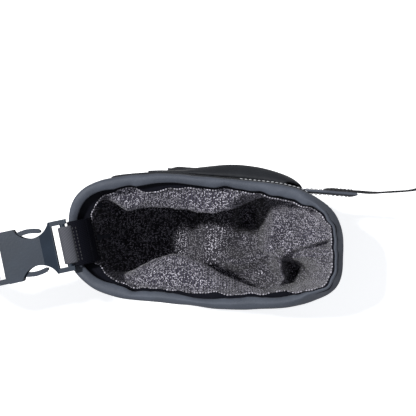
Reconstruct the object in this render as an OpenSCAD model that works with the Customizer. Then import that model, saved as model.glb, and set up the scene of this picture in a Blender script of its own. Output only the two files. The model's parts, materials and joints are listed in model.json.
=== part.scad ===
// Belted treat pouch: a soft lined bag with a wide stayed mouth, a zip pocket on its back,
// and a webbing waist belt that closes at the left end with a side-release buckle.
// Millimetres. Origin at the centre of the flat base, +Z up, +X along the mouth, +Y to the wearer.

/* [Pouch] */
// Height of the rim above the base
pouch_h = 128; // [122:1:134]
// Length of the open mouth
mouth_l = 172; // [170:1:176]
// Depth of the open mouth, front to back
mouth_d = 82; // [80:1:86]
// Length of the flat base
base_l = 142; // [136:1:150]
// Depth of the flat base
base_d = 58; // [54:1:62]
// How far the walls belly out past the rim, on each side
belly = 2; // [1:0.5:3]
// Squareness of the outline, where 2 is an ellipse
squareness = 3.2; // [2.8:0.1:3.6]
// Thickness of the padded outer fabric
shell_t = 2.4; // [2:0.1:2.6]

/* [Back pocket] */
// Width of the pocket
pocket_w = 104; // [100:1:106]
// Height of the pocket
pocket_h = 80; // [76:1:82]
// Length of the zip opening
zip_l = 80; // [76:1:80]

/* [Belt and buckle] */
// Width of the webbing
web_w = 25; // [24:0.5:25]
// Thickness of the webbing
web_t = 1.3; // [1.2:0.1:1.3]
// Angle of the buckle from the mouth's long axis, seen from above
buckle_tilt = 16.4; // [12:0.2:20]

/* [Hidden] */

outline_points = 64;
slack = 0.3; // gap left between neighbouring pieces of fabric
eps = 0.01;

// Layers of the wall, each as its distance inside the outer face
stay_in = shell_t + slack;
stay_t = 1;
facing_in = stay_in + stay_t + slack;
facing_t = 1.2;
lining_in = facing_in + facing_t + slack;
lining_t = 0.8;

// Levels up the pouch
belly_z = pouch_h * 0.48;
board_z = shell_t + slack;
board_t = 1.6;
lining_z = board_z + board_t + slack;
facing_h = 18;
seam_x = mouth_l * 0.37; // where the front and back panels meet the gusset
seam_z = 8;

// Back pocket and zip
pocket_x = 9;
pocket_y = mouth_d / 2 + 5.6;
pocket_z = 60;
pocket_t = 1.5;
zip_z = 78;
coil_l = zip_l - 8;
coil_r = 1.1;
coil_y = pocket_y - pocket_t / 2;
slider_l = 10;
slider_x = pocket_x + coil_l / 2 - slider_l / 2 - 0.2;
slider_y = pocket_y + 1.2; // front face of the slider
pin_y = slider_y + 1.7;

// Buckle, measured along u from its tab bar towards the mouth, v across and w up
bar_at = [-mouth_l / 2 - 1, -8.8, pouch_h + 4];
bar_r = 1.75;
buckle_w = web_w + 8;
socket_end = 39;
cavity_start = 13;
cavity_w = buckle_w - 3.4;
cavity_t = 5.5;
knuckle = [37.2, 12];
knuckle_r = 1.5;
belt_bar_u = 48.4;
male_end = 58.5;
male_t = 5;

// A power that keeps its sign, for superellipses
function signed_pow(x, p) = sign(x) * pow(abs(x), p);

// Superellipse with semi-axes a and b
function outline(a, b) = [
    for (i = [0:outline_points - 1])
        let (t = 360 * i / outline_points)
            [a * signed_pow(cos(t), 2 / squareness), b * signed_pow(sin(t), 2 / squareness)]
];

// A point of the buckle's own frame, in the part's frame
function on_buckle(u, v, w) = [
    bar_at.x - u * cos(buckle_tilt) - v * sin(buckle_tilt),
    bar_at.y - u * sin(buckle_tilt) + v * cos(buckle_tilt),
    bar_at.z + w
];

module slab(a, b, z, t = 1) {
    translate([0, 0, z]) linear_extrude(t) polygon(outline(a, b));
}

// The pouch as a closed solid, set in by d, from level z0 to level z1: it rounds out from the
// base to its belly and draws in a little towards the rim
module pouch_form(d, z0, z1) {
    foot = [base_l, base_d] / 2;
    rim = [mouth_l, mouth_d] / 2;
    full = [rim.x + belly, rim.y + belly];
    hull() {
        for (f = [0, 0.12, 0.3, 0.6, 1]) {
            grown = 1 - pow(1 - f, 2);
            size = foot + grown * (full - foot);
            slab(size.x - d, size.y - d, z0 + f * (belly_z - z0));
        }
        slab(rim.x - d, rim.y - d, z1 - 1);
    }
}

// The shell of padded fabric, open at the top
module shell() {
    difference() {
        pouch_form(0, 0, pouch_h);
        pouch_form(shell_t, shell_t, pouch_h + 5);
    }
}

// The part of the shell taken by the front (side = -1) or back (side = 1) panel
module panel_space(side, grow = 0) {
    y = side < 0 ? -mouth_d : 0;
    translate([-seam_x - grow, y, seam_z - grow]) cube([2 * (seam_x + grow), mouth_d, pouch_h]);
}

// A ring of the collar between two depths of the wall, kept on one side of the mouth
module collar_half(side, d0, d1, z0, z1, reach) {
    rim = [mouth_l / 2, mouth_d / 2];
    translate([0, 0, z0]) linear_extrude(z1 - z0) intersection() {
        difference() {
            polygon(outline(rim.x - d0, rim.y - d0));
            polygon(outline(rim.x - d1, rim.y - d1));
        }
        translate([-reach, side < 0 ? -mouth_d - slack : slack]) square([2 * reach, mouth_d]);
    }
}

module gusset_and_base() {
    color("slategray") difference() {
        shell();
        for (side = [-1, 1]) panel_space(side, slack);
    }
}

module front_panel() {
    color("slategray") intersection() {
        shell();
        panel_space(-1);
    }
}

module back_panel() {
    color("slategray") intersection() {
        shell();
        panel_space(1);
    }
}

module base_board() {
    inset = 6;
    color("dimgray") slab(base_l / 2 - inset, base_d / 2 - inset, board_z, board_t);
}

module lining() {
    top = pouch_h - facing_h - slack;
    color("darkgray") difference() {
        intersection() {
            pouch_form(lining_in, lining_z, pouch_h);
            translate([-mouth_l, -mouth_d, 0]) cube([2 * mouth_l, 2 * mouth_d, top]);
        }
        pouch_form(lining_in + lining_t, lining_z + lining_t, pouch_h + 5);
    }
}

module rim_facing(side) {
    z0 = pouch_h - facing_h;
    color("slategray")
        collar_half(side, facing_in, facing_in + facing_t, z0, pouch_h - slack, mouth_l);
}

module rim_stay(side) {
    top = pouch_h - 1.5;
    stay_h = 5;
    color("white")
        collar_half(side, stay_in, stay_in + stay_t, top - stay_h, top, mouth_l * 0.44);
}

module rim_magnet(side) {
    r = 7.5;
    y = side * (mouth_d / 2 - stay_in - stay_t / 2);
    color("silver") translate([0, y, pouch_h - 7.5 - r]) rotate([90, 0, 0])
        cylinder(h = stay_t, r = r, center = true, $fn = 48);
}

// Reflective cord along the outside of the back rim
module rim_piping() {
    cord_z = pouch_h - 4;
    cord_t = 1.4;
    color("whitesmoke")
        collar_half(1, -cord_t, -slack, cord_z - cord_t, cord_z, seam_x);
}

// A sloped block of the pocket, set in by d
module pocket_block(d) {
    slope = 9;
    y0 = mouth_d / 2 - 12;
    hull() {
        pocket_slab(d, y0);
        pocket_slab(d + slope, pocket_y - d - eps);
    }
}

module pocket_slab(inset, y) {
    corner = 10;
    w = pocket_w / 2 - inset - corner;
    h = pocket_h / 2 - inset - corner;
    translate([pocket_x, y, pocket_z]) rotate([90, 0, 0]) linear_extrude(eps) hull()
        for (sx = [-1, 1], sz = [-1, 1]) translate([sx * w, sz * h]) circle(corner, $fn = 32);
}

module pocket_panel() {
    slot_h = 9;
    color("slategray") difference() {
        pocket_block(0);
        pocket_block(pocket_t);
        pouch_form(-slack, -1, pouch_h + 5);
        translate([pocket_x - zip_l / 2, mouth_d / 2, zip_z - slot_h / 2])
            cube([zip_l, 20, slot_h]);
    }
}

// One woven tape of the zip, behind the pocket's face
module zip_tape(side) {
    tape_h = 6;
    z = side > 0 ? zip_z + 0.4 : zip_z - 0.4 - tape_h;
    y = pocket_y - pocket_t - 0.9;
    color("black") translate([pocket_x - zip_l / 2 + 1, y - 0.4, z])
        cube([zip_l - 2, 0.6, tape_h]);
}

module zip_coil() {
    color("dimgray") translate([pocket_x, coil_y, zip_z]) rotate([0, 90, 0])
        cylinder(h = coil_l, r = coil_r, center = true, $fn = 32);
}

module zip_stops() {
    stop_l = 2.2;
    color("dimgray") for (side = [-1, 1])
        translate([pocket_x + side * (coil_l / 2 + stop_l / 2 + slack), coil_y, zip_z])
            cube([stop_l, 2.4, 4], center = true);
}

module zip_slider() {
    body_h = 7;
    y0 = coil_y - 1.2;
    ear_t = 1;
    ear_gap = 2.6;
    color("dimgray") difference() {
        union() {
            translate([slider_x - slider_l / 2, y0, zip_z - body_h / 2])
                cube([slider_l, slider_y - y0, body_h]);
            for (side = [-1, 1])
                translate([slider_x, pin_y, zip_z + side * (ear_gap + ear_t) / 2]) {
                    cylinder(h = ear_t, r = 1.6, center = true, $fn = 32);
                    translate([0, -1.6, 0]) cube([3.2, 3.2, ear_t], center = true);
                }
            translate([slider_x, pin_y, zip_z])
                cylinder(h = ear_gap + ear_t, r = 0.7, center = true, $fn = 32);
        }
        translate([slider_x, coil_y, zip_z]) rotate([0, 90, 0])
            cylinder(h = slider_l + 2, r = coil_r + 0.2, center = true, $fn = 32);
    }
}

module zip_pull() {
    pull_l = 20;
    pull_w = 6.4;
    pull_t = 1.6;
    neck_l = 6;
    eye_h = 2.2;
    color("dimgray") translate([slider_x, pin_y, zip_z]) difference() {
        union() {
            cylinder(h = eye_h, r = 1.5, center = true, $fn = 32);
            translate([-neck_l / 2 - 0.5, 0, 0]) cube([neck_l, pull_t, eye_h], center = true);
            translate([-neck_l - pull_l / 2, 0, 0]) cube([pull_l, pull_t, pull_w], center = true);
        }
        cylinder(h = eye_h + 2, r = 0.8, center = true, $fn = 32);
    }
}

// Places its children in the buckle's frame, where -X is u, Y is v and Z is w
module at_buckle() {
    translate(bar_at) rotate([0, 0, buckle_tilt]) children();
}

// Cuts a plan outline to a side profile: half the thickness at each u
module slab_by_profile(profile) {
    reach = buckle_w;
    intersection() {
        translate([0, 0, -reach / 2]) linear_extrude(reach) children();
        rotate([90, 0, 0]) linear_extrude(2 * reach, center = true) polygon(concat(
            [for (p = profile) [-p[0], p[1]]],
            [for (i = [len(profile) - 1:-1:0]) [-profile[i][0], -profile[i][1]]]
        ));
    }
}

// A rectangle of the buckle's plan from u0 to u1, w wide about the centre line
module plan(u0, u1, w) {
    translate([-u1, -w / 2]) square([u1 - u0, w]);
}

module female_buckle() {
    frame_u = -2.7;
    slot_u = 7;
    scoop_r = 11.8;
    scoop_u = 19.5;
    color("slategray") at_buckle() {
        difference() {
            slab_by_profile([
                [frame_u, 2], [7.5, 2.2], [15, 4.5], [socket_end, 4.5]
            ]) difference() {
                plan(frame_u, socket_end, buckle_w);
                plan(-5, slot_u, web_w + 2);
                for (side = [-1, 1])
                    translate([-scoop_u, side * (buckle_w / 2 + 4)]) circle(scoop_r, $fn = 64);
            }
            translate([-socket_end - 1, -cavity_w / 2, -cavity_t / 2])
                cube([socket_end + 1 - cavity_start, cavity_w, cavity_t]);
        }
        rotate([90, 0, 0]) cylinder(h = web_w + 4, r = bar_r, center = true, $fn = 48);
    }
}

module male_buckle() {
    slot_w = web_w + 1;
    slot_u = [41.3, 55];
    tongue = [19, 4.4, 3.2];
    boss = [9.4, 14.2];
    boss_l = 2.6;
    color("slategray") at_buckle() difference() {
        union() {
            translate([0, 0, -male_t / 2]) linear_extrude(male_t) difference() {
                plan(socket_end + 0.2, male_end, buckle_w - 0.4);
                plan(slot_u[0], slot_u[1], slot_w);
            }
            translate([-belt_bar_u, 0, 0]) rotate([90, 0, 0])
                cylinder(h = slot_w + 2, r = 1.8, center = true, $fn = 48);
            translate([-socket_end - 1, -tongue.y / 2, -tongue.z / 2]) cube(tongue);
            for (side = [-1, 1])
                translate([-socket_end - 1, side * (boss[0] + boss[1]) / 2, 0])
                    translate([0, -(boss[1] - boss[0]) / 2, -male_t / 2])
                        cube([boss_l, boss[1] - boss[0], male_t]);
        }
        for (side = [-1, 1])
            translate([-knuckle[0], side * knuckle[1], 0])
                cylinder(h = male_t + 2, r = knuckle_r + 0.08, center = true, $fn = 48);
    }
}

// Outer edge of a prong: straight inside the socket, then bulging out through its window
function prong_edge(u) =
    let (bulge_from = 29.5, bulge_to = 15.5)
        14 + (u < bulge_from && u > bulge_to
            ? 1.1 * sin(180 * (bulge_from - u) / (bulge_from - bulge_to))
            : 0);

module prong(side) {
    tip = 14;
    arm_t = 3;
    root = knuckle[0] - 1;
    steps = 16;
    us = [for (i = [0:steps]) root + (tip + 1.5 - root) * i / steps];
    outer = [for (u = us) [-u, side * min(prong_edge(u), 13.3 + (root - u) * 0.12 + 0.2)]];
    inner = [for (i = [steps:-1:0]) [-us[i], side * (prong_edge(us[i]) - arm_t)]];
    color("slategray") at_buckle() translate([0, 0, -2.45]) {
        linear_extrude(4.9) polygon(concat(
            outer, [[-tip, side * 12.6], [-tip, side * 11.4]], inner
        ));
        translate([-knuckle[0], side * knuckle[1], 0]) cylinder(h = 4.9, r = knuckle_r, $fn = 48);
    }
}

// Webbing sewn inside the left end that comes up over the rim and round the buckle's bar
module buckle_tab() {
    r = bar_r + 0.1;
    color("midnightblue") at_buckle() rotate([90, 0, 0]) difference() {
        union() {
            cylinder(h = web_w - 1, r = r + 1.6, center = true, $fn = 48);
            linear_extrude(web_w - 1, center = true) polygon([
                [0, 3.1], [7, 3], [11.4, 1], [14, -2.5], [14.8, -7], [14.8, -30],
                [12.2, -30], [12.2, -8], [11.4, -4.4], [9.8, -2.9], [0, -2.9]
            ]);
        }
        cylinder(h = web_w + 2, r = r, center = true, $fn = 48);
    }
}

// A point on a Catmull-Rom curve between p1 and p2
function spline(p0, p1, p2, p3, t) =
    0.5 * (2 * p1 + (p2 - p0) * t + (2 * p0 - 5 * p1 + 4 * p2 - p3) * t * t
        + (3 * p1 - p0 - 3 * p2 + p3) * t * t * t);

// The curve through every point but the first and last, in steps per span
function curve(p, steps) = concat(
    [for (i = [1:len(p) - 3], k = [0:steps - 1]) spline(p[i - 1], p[i], p[i + 1], p[i + 2], k / steps)],
    [p[len(p) - 2]]
);

function unit(v) = v / norm(v);

// The belt starts at its tail, turns round the buckle's bar and goes round the waist to the wing
wing_y = mouth_d / 2 - 2.6;
wing_z = 92;
floor_z = web_w / 2;
loop_r = 1.95 + web_t / 2;
tail_u = 92;
doubled = [[tail_u, 0.85], [66, 1], [60, 3.3], [53, 3.4], [belt_bar_u, loop_r]];
tail_line = [for (p = concat([[tail_u + 7, 0.6]], doubled, [[44, loop_r]])) on_buckle(p[0], 0, p[1])];
bar_turn = [
    for (a = [90 + 20:20:270 - 20])
        on_buckle(belt_bar_u + loop_r * cos(a), 0, loop_r * sin(a))
];
waist_line = concat(
    [on_buckle(44, 0, -loop_r)],
    [for (i = [len(doubled) - 1:-1:0]) on_buckle(doubled[i][0], 0, -doubled[i][1])],
    [
        on_buckle(112, -0.5, -3.5), [-214, -30, 117], [-228, 4, 104], [-228, 62, 75], [-212, 136, 41],
        [-178, 208, floor_z + 2], [-108, 264, floor_z], [-10, 282, floor_z], [92, 264, floor_z],
        [162, 208, floor_z + 2], [190, 136, 40], [182, 84, 68], [150, 50, 86],
        [118, wing_y + 3.2, wing_z - 1], [98, wing_y + 2.1, wing_z], [78, wing_y + 2.1, wing_z],
        [70, wing_y + 2.1, wing_z]
    ]
);
belt_line = concat(curve(tail_line, 6), bar_turn, curve(waist_line, 6));
across_buckle = [-sin(buckle_tilt), cos(buckle_tilt), 0];
flat_until = len(curve(tail_line, 6)) + len(bar_turn) + 6 * len(doubled);
on_edge_after = flat_until + 6 * 3;

// How far the webbing has turned from flat (90) to standing on edge (0) at point i of its line
function belt_roll(i) = 90 * max(0, min(1, (on_edge_after - i) / (on_edge_after - flat_until)));

// Direction across the webbing at point i, where the line runs along the given direction
function belt_across(i, along) =
    let (
        side = unit(cross(along, [0, 0, 1])),
        up = cross(side, along)
    )
    i < flat_until ? across_buckle : cos(belt_roll(i)) * up + sin(belt_roll(i)) * side;

// The belt as one strip: four corners at each point of its line, joined by quads of triangles
module belt_webbing() {
    n = len(belt_line);
    corners = [
        for (i = [0:n - 1])
            let (
                along = unit(belt_line[min(i + 1, n - 1)] - belt_line[max(i - 1, 0)]),
                across = belt_across(i, along),
                face = cross(along, across)
            )
            for (q = [[-1, -1], [1, -1], [1, 1], [-1, 1]])
                belt_line[i] + q[0] * web_w / 2 * across + q[1] * web_t / 2 * face
    ];
    sides = [
        for (i = [0:n - 2], k = [0:3])
            let (a = 4 * i + k, b = 4 * i + (k + 1) % 4)
            each [[a, a + 4, b], [b, a + 4, b + 4]]
    ];
    last = 4 * (n - 1);
    caps = [[0, 1, 2], [0, 2, 3], [last + 2, last + 1, last], [last + 3, last + 2, last]];
    color("black") polyhedron(corners, concat(sides, caps));
}

module belt_keeper() {
    wall = 1;
    hole = [web_w + 1, 4.4];
    color("black") at_buckle() translate([-72, 0, 0]) rotate([90, 0, 90])
        linear_extrude(6, center = true) difference() {
            square([hole.x + 2 * wall, hole.y + 2 * wall], center = true);
            square(hole, center = true);
        }
}

// Fabric wing out of the back right seam, with the end of the belt sewn on it
module belt_wing() {
    root_h = 46;
    color("slategray") translate([0, wing_y, wing_z]) rotate([90, 0, 0])
        linear_extrude(2.4, center = true) polygon([
            [seam_x + 1.5, -root_h / 2], [98, -web_w / 2 - 2],
            [98, web_w / 2 + 2], [seam_x + 1.5, root_h / 2 - 6]
        ]);
}

gusset_and_base();
base_board();
lining();
buckle_tab();
belt_wing();
belt_webbing();
front_panel();
rim_facing(-1);  // front_rim_facing
rim_stay(-1);  // front_rim_stay
rim_magnet(-1);  // front_magnet
back_panel();
rim_facing(1);  // back_rim_facing
rim_stay(1);  // back_rim_stay
rim_magnet(1);  // back_magnet
rim_piping();
pocket_panel();
zip_tape(1);  // zip_tape_upper
zip_tape(-1);  // zip_tape_lower
zip_coil();
zip_stops();
zip_slider();
zip_pull();
female_buckle();
male_buckle();
prong(-1);  // prong_front
prong(1);  // prong_back
belt_keeper();
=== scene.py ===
"""The treat pouch's looks: padded shell, turned rim, glitter-knit lining, webbing, zip and buckle.

Everything is in metres, in the CAD model's frame: +Z up, +X along the mouth away from the buckle,
+Y towards the wearer. Soft pieces are built here and replace the plain CAD solids.
"""
import json
import math

import bmesh
import bpy
import numpy as np
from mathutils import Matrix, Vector, noise


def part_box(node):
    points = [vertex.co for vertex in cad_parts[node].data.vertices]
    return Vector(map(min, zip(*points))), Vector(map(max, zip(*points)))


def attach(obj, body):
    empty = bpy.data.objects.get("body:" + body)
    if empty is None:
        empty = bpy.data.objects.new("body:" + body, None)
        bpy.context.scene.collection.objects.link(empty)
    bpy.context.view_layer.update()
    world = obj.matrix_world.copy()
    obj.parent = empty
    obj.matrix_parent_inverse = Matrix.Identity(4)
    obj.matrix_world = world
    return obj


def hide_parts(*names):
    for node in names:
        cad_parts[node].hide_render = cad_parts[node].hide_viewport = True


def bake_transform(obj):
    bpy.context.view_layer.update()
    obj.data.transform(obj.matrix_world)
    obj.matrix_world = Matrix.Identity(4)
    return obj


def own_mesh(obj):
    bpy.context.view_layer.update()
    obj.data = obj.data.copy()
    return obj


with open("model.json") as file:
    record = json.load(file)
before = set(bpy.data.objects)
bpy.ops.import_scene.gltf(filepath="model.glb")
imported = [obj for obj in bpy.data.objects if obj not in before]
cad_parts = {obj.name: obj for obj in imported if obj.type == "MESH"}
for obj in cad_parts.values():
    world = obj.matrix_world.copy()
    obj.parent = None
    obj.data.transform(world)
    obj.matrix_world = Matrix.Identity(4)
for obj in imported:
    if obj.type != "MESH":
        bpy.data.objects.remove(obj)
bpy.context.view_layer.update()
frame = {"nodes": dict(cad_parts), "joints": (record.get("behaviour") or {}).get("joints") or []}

NODES = frame["nodes"]
JOINTS = {j["name"]: j for j in frame["joints"]}
MM = 0.001


# ---------------------------------------------------------------- sizes, from the frame

def corners(node):
    """The lowest and highest corner of a CAD node's box."""
    return [np.array(c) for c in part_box(node)]


SHELL_HIGH = corners("gusset_and_base")[1]
BACK_HIGH = corners("back_panel")[1]
COIL_LOW, COIL_HIGH = corners("zip_coil")
RIM_Z = float(SHELL_HIGH[2])
ZIP_Z = float(COIL_LOW[2] + COIL_HIGH[2]) / 2
SEAM_X = float(BACK_HIGH[0])
RIM = np.array([SHELL_HIGH[0] + 0.3 * MM, BACK_HIGH[1] - 1.3 * MM])
BELLY = np.array([SHELL_HIGH[0] + 0.8 * MM, BACK_HIGH[1] + 0.5 * MM])
FOOT = np.array([71, 29]) * MM
BELLY_Z = RIM_Z * 0.48
SQUARENESS = 3.15
COLUMNS = 320
SIDES = (("back", 1), ("front", -1))
FLOOR_Z = 8.5 * MM
CAMERA_ABOVE = 0.6
CAMERA_TURN = math.radians(4.5)
CAMERA_XY = (0.2 * MM, 21.7 * MM)
SEAM_Z = RIM_Z - 12.5 * MM
WALL_THICK = 3.1 * MM
WALL_ROWS = 84
FLOOR_RINGS = 38


def even_angles(count, half, power):
    """Angles round a superellipse at equal steps along its edge, symmetric in each quarter."""
    fine = np.linspace(0, math.pi / 2, 4000)
    x = half[0] * np.cos(fine) ** (2 / power)
    y = half[1] * np.sin(fine) ** (2 / power)
    run = np.concatenate([[0], np.cumsum(np.hypot(np.diff(x), np.diff(y)))])
    quarter = np.interp(np.linspace(0, run[-1], count // 4 + 1), run, fine)
    half_turn = np.concatenate([quarter[:-1], math.pi - quarter[:0:-1]])
    return np.concatenate([half_turn, half_turn + math.pi, [2 * math.pi]])


ANGLE = even_angles(COLUMNS, RIM, SQUARENESS)
SIDE = np.where(ANGLE <= math.pi, 1.0, -1.0)


def smooth(x):
    """0 below 0, 1 above 1, and a smooth step between."""
    x = np.clip(x, 0, 1)
    return x * x * (3 - 2 * x)


def bump(x, centre, width):
    return np.exp(-(((x - centre) / width) ** 2))


def run_along(line):
    """How far along a line of points each point is."""
    return np.concatenate([[0], np.cumsum(np.linalg.norm(np.diff(line, axis=0), axis=1))])


def outline(half):
    """Points of a superellipse with these half sizes, one for each column."""
    c, s = np.cos(ANGLE), np.sin(ANGLE)
    x = half[0] * np.sign(c) * np.abs(c) ** (2 / SQUARENESS)
    y = half[1] * np.sign(s) * np.abs(s) ** (2 / SQUARENESS)
    x[np.abs(x) < 1e-9] = 0
    y[np.abs(y) < 1e-9] = 0
    return np.stack([x, y], axis=1)


def outward():
    """Unit normals of the rim's outline, one for each column."""
    p = outline(RIM)
    g = np.sign(p) * (np.abs(p) / RIM) ** (SQUARENESS - 1) / RIM
    return g / np.linalg.norm(g, axis=1)[:, None]


NORMAL = outward()
OUTWARD = np.column_stack([NORMAL, np.zeros(len(ANGLE))])
RIM_LINE = outline(RIM)
ARC = run_along(RIM_LINE)


def wall_half(z):
    """Half length and half depth of the shell's outer face at height z."""
    if z <= BELLY_Z:
        f = max(0.0, z / BELLY_Z)
        return FOOT + (BELLY - FOOT) * (1 - (1 - f) ** 2)
    f = (z - BELLY_Z) / (RIM_Z - BELLY_Z)
    return BELLY + (RIM - BELLY) * smooth(f)


def around(centre, width):
    """A bump round the outline, centred on this angle, that closes on itself."""
    away = np.abs((ANGLE - centre + math.pi) % (2 * math.pi) - math.pi)
    return bump(away, 0, width)


FULLER = (3.2 * around(-0.27, 0.34) + 0.9 * around(math.pi + 0.95, 0.45)) * MM


def ring(z, inset, lift=0.0):
    """A ring of points round the pouch, inset from the outer face at height z. The outline is a
    little fuller at the front's two corners."""
    inset = np.broadcast_to(inset, ANGLE.shape) - FULLER * smooth(z / (60 * MM))
    p = outline(wall_half(z)) - NORMAL * inset[:, None]
    return np.column_stack([p, np.full(len(ANGLE), z) + lift])


def scaled_ring(half, share, z):
    p = outline(half) * share
    return np.column_stack([p, np.full(len(ANGLE), z)])


def ripple(points, size, scale, seed=0):
    """Smooth noise at each point, between about -scale and scale, with features of this size."""
    shift = Vector((seed * 7.3, seed * 3.1, seed * 5.7))
    flat = points.reshape(-1, points.shape[-1])
    values = [noise.noise(Vector(p) / size + shift) for p in flat]
    return scale * np.array(values).reshape(points.shape[:-1])


# ---------------------------------------------------------------- meshes

def add_object(name, verts, faces, material, uv=None, normals=None):
    mesh = bpy.data.meshes.new(name)
    mesh.from_pydata([tuple(v) for v in verts], [], [tuple(f) for f in faces])
    if uv is not None:
        layer = mesh.uv_layers.new(name="Cloth")
        corner = np.empty(len(mesh.loops), np.int32)
        mesh.loops.foreach_get("vertex_index", corner)
        layer.data.foreach_set("uv", np.asarray(uv, np.float32)[corner].ravel())
    mesh.shade_smooth()
    if normals is not None:
        mesh.normals_split_custom_set_from_vertices([tuple(n) for n in normals])
    mesh.materials.append(material)
    obj = bpy.data.objects.new(name, mesh)
    bpy.context.scene.collection.objects.link(obj)
    return obj


def grid_faces(rows, columns, flip=False):
    r, c = np.meshgrid(np.arange(rows - 1), np.arange(columns - 1), indexing="ij")
    a = (r * columns + c).ravel()
    quads = np.stack([a, a + 1, a + columns + 1, a + columns], axis=1)
    return quads[:, ::-1] if flip else quads


def grid_normals(points, flip=False):
    """Smooth normals of a grid whose first and last columns meet."""
    down = np.gradient(points, axis=0)
    wrapped = np.concatenate([points[:, -2:-1], points, points[:, 1:2]], axis=1)
    across = (wrapped[:, 2:] - wrapped[:, :-2]) / 2
    n = np.cross(across, down)
    length = np.linalg.norm(n, axis=2, keepdims=True)
    n = np.where(length > 1e-12, n / np.maximum(length, 1e-12), [0, 0, 1])
    return -n if flip else n


def grid_uv(points):
    """Distance round the pouch and distance down the surface, in metres."""
    steps = np.linalg.norm(np.diff(points, axis=0), axis=2).mean(axis=1)
    down = np.concatenate([[0], np.cumsum(steps)])
    return np.stack(np.broadcast_arrays(ARC[None, :], down[:, None]), axis=2)


def half_pieces(name, points, material, slot, replaces, flip=False):
    """Back and front halves of a surface round the pouch; each replaces the CAD nodes named for its side."""
    uv = grid_uv(points)
    normals = grid_normals(points, flip)
    middle = COLUMNS // 2
    for side, cols in (("back", slice(0, middle + 1)), ("front", slice(middle, COLUMNS + 1))):
        part = points[:, cols]
        faces = grid_faces(part.shape[0], part.shape[1], flip)
        piece = add_object(
            f"{side}_{name}", part.reshape(-1, 3), faces, material,
            uv[:, cols].reshape(-1, 2), normals[:, cols].reshape(-1, 3),
        )
        settle(piece, slot, *replaces[side], wall=side)


def settle(piece, slot, *replaces, wall=None, body=None):
    """Hide the CAD nodes that a piece stands for, bake its place into its mesh if it belongs to a
    wall, and let it ride on a body. The slot argument is not used."""
    if replaces:
        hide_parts(*replaces)
    if wall:
        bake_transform(piece)
    if body:
        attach(piece, body)


def apply_modifiers(obj):
    """Replace an object's mesh with what its modifiers make of it."""
    bpy.context.view_layer.update()
    graph = bpy.context.evaluated_depsgraph_get()
    made = bpy.data.meshes.new_from_object(obj.evaluated_get(graph), depsgraph=graph)
    obj.modifiers.clear()
    obj.data = made
    return obj


def spline(points, steps):
    """A Catmull-Rom curve through every point, in steps per span."""
    p = np.array(points, float)
    p = np.vstack([2 * p[0] - p[1], p, 2 * p[-1] - p[-2]])
    out = []
    for a, b, c, d in zip(p, p[1:], p[2:], p[3:]):
        t = (np.arange(steps) / steps)[:, None]
        out.append(0.5 * (2 * b + (c - a) * t + (2 * a - 5 * b + 4 * c - d) * t**2
                          + (3 * b - a - 3 * c + d) * t**3))
    return np.vstack(out + [p[-2:-1]])


def unit(v):
    v = np.asarray(v, float)
    return v / np.maximum(np.linalg.norm(v, axis=-1, keepdims=True), 1e-12)


def strap_section(width, thick):
    """Section of a strap as (across, through) pairs: flat faces and round edges, with the faces
    cut into bands so that a bend stays smooth."""
    r = thick / 2
    flat = np.linspace(-1, 1, 9) * (width / 2 - r)
    turn = np.radians([45, 0, -45])
    right = [(width / 2 - r + r * math.cos(a), r * math.sin(a)) for a in turn]
    left = [(-w, -f) for w, f in right]
    return np.array([(w, r) for w in flat] + right + [(w, -r) for w in flat[::-1]] + left)


def strap(name, centre, across, width, thick, material):
    """A strap swept along a line of centres, with its width along the across directions."""
    centre = np.asarray(centre, float)
    across = np.broadcast_to(unit(across), centre.shape)
    along = unit(np.gradient(centre, axis=0))
    face = unit(np.cross(along, across))
    section = strap_section(width, thick)
    points = (centre[:, None] + section[None, :, :1] * across[:, None]
              + section[None, :, 1:] * face[:, None])
    rows, columns = points.shape[:2]
    closed = np.concatenate([points, points[:, :1]], axis=1)
    girth = np.concatenate([section[:, 0], section[:1, 0]])
    uv = np.stack(np.broadcast_arrays(run_along(centre)[:, None], girth[None, :]), axis=2)
    faces = [list(f) for f in grid_faces(rows, columns + 1)]
    first = list(range(columns))
    faces += [first[::-1], [(rows - 1) * (columns + 1) + i for i in first]]
    obj = add_object(name, closed.reshape(-1, 3), faces, material, uv.reshape(-1, 2))
    merge_close(obj)
    return obj


def merge_close(obj, distance=1e-6):
    mesh = bmesh.new()
    mesh.from_mesh(obj.data)
    bmesh.ops.remove_doubles(mesh, verts=mesh.verts, dist=distance)
    bmesh.ops.recalc_face_normals(mesh, faces=mesh.faces)
    mesh.to_mesh(obj.data)
    mesh.free()
    obj.data.shade_smooth()


def tube_faces(rows, sides, base=0):
    """Faces of a capped tube whose points run ring by ring, from a base index on."""
    faces = []
    for r in range(rows - 1):
        low = base + r * sides
        for k in range(sides):
            j = (k + 1) % sides
            faces.append((low + k, low + j, low + sides + j, low + sides + k))
    last = base + (rows - 1) * sides
    faces.append([base + k for k in range(sides)][::-1])
    faces.append([last + k for k in range(sides)])
    return faces


def tube(name, line, radius, material, sides):
    """A cord along a line; radius is one number or one for each point."""
    line = np.asarray(line, float)
    along = unit(np.gradient(line, axis=0))
    side = unit(np.cross(along, [0.02, 0.03, 1.0]))
    up = np.cross(side, along)
    a = np.linspace(0, 2 * math.pi, sides, endpoint=False)
    radius = np.broadcast_to(radius, len(line))[:, None, None]
    points = line[:, None] + radius * (np.cos(a)[None, :, None] * side[:, None]
                                       + np.sin(a)[None, :, None] * up[:, None])
    rows = len(line)
    uv = np.stack(np.broadcast_arrays(np.arange(rows)[:, None] * MM, a[None, :] * MM), axis=2)
    return add_object(name, points.reshape(-1, 3), tube_faces(rows, sides), material, uv.reshape(-1, 2))


def resample(at, known, vectors):
    """Vectors known at some places along a line, worked out at others."""
    return np.stack([np.interp(at, known, vectors[:, i]) for i in range(3)], axis=1)


def along_line(line, spacing):
    """Points at equal spacing along a line."""
    line = np.asarray(line, float)
    run = run_along(line)
    at = np.linspace(0, run[-1], max(2, int(round(run[-1] / spacing)) + 1))
    return resample(at, run, line)


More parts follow.
